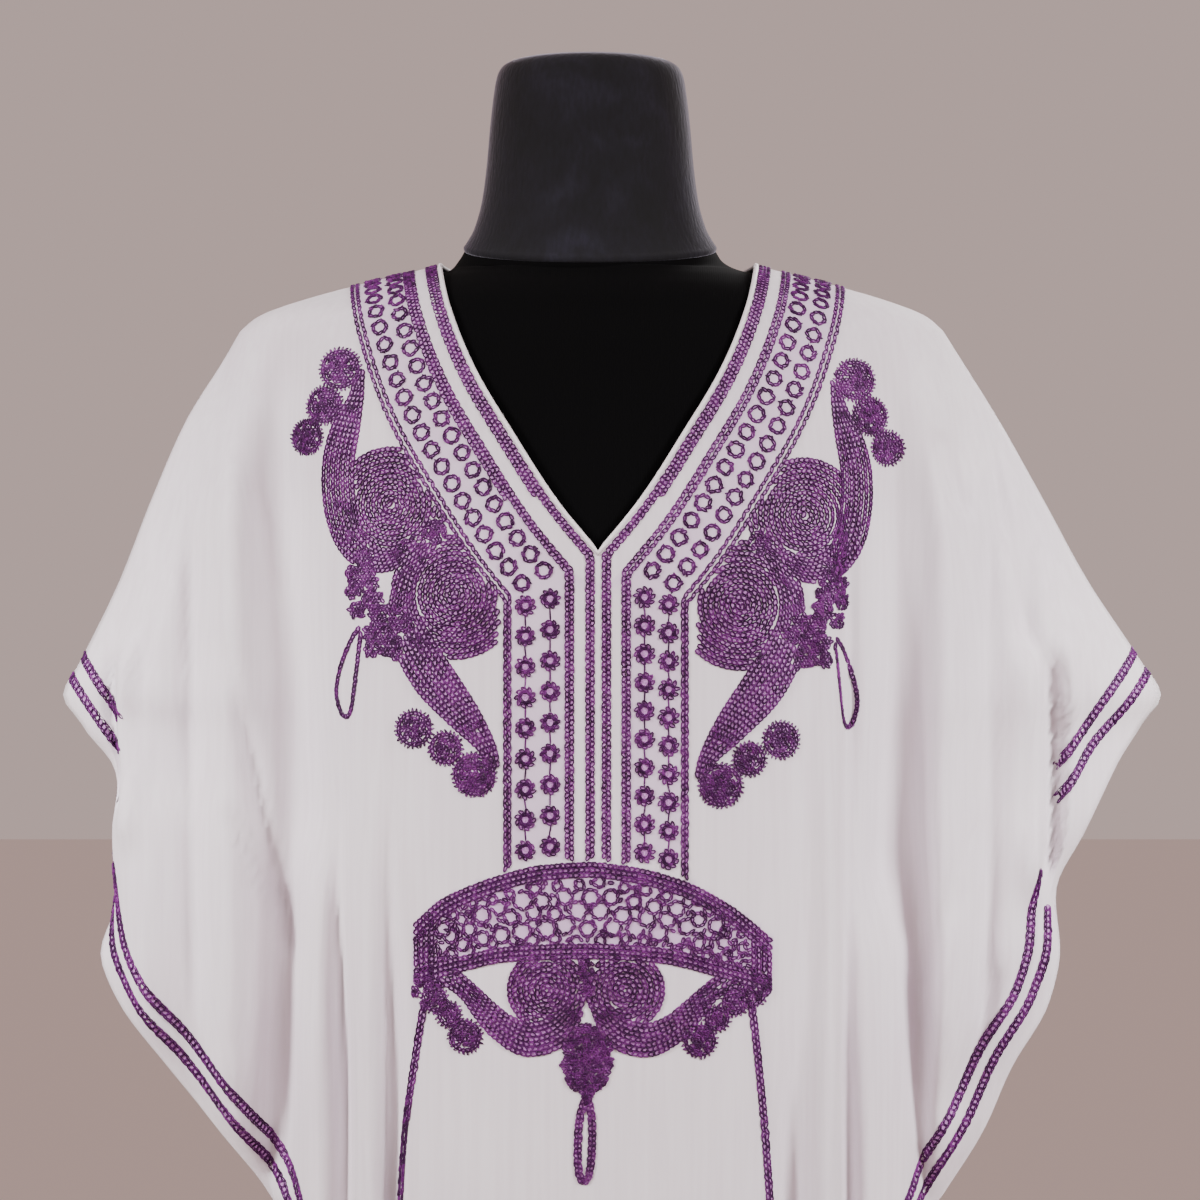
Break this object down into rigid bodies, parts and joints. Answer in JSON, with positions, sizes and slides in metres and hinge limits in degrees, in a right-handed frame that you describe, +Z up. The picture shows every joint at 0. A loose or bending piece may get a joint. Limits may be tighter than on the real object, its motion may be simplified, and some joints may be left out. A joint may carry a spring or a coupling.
{
  "type": "kaftan on dress form",
  "caption": "Long white batwing kaftan with a deep V neck and purple chain-stitch embroidery, standing on a limbless black dress form with a pole and a round base.",
  "frame": {"origin": "centre of the underside of the stand's round base, on the floor", "axes": "+Z up, the front of the kaftan faces -Y, +X is to the right when looking at its front"},
  "size_m": [0.6898, 0.3359, 1.6395],
  "materials": {
    "crepe": "matt white crepe with a faint lilac cast",
    "binding": "white satin binding",
    "thread": "purple chain stitch with a soft silk sheen",
    "velvet": "charcoal velvet",
    "jersey": "black stretch jersey",
    "steel": "black powder coat"
  },
  "bodies": {
    "root": {"kaftan_front": "crepe", "kaftan_back": "crepe", "neck_binding": "binding", "neck_band_left": "thread", "neck_band_right": "thread", "placket": "thread", "scroll_left": "thread", "scroll_right": "thread", "waist_plate": "thread", "waist_scroll": "thread", "skirt_line_left": "thread", "skirt_line_right": "thread", "cuff_trim_front_left": "thread", "cuff_trim_front_right": "thread", "cuff_trim_back_left": "thread", "cuff_trim_back_right": "thread", "form_torso": "jersey", "form_neck_cap": "velvet", "stand_base": "steel", "stand_pole": "steel"}
  },
  "joints": []
}
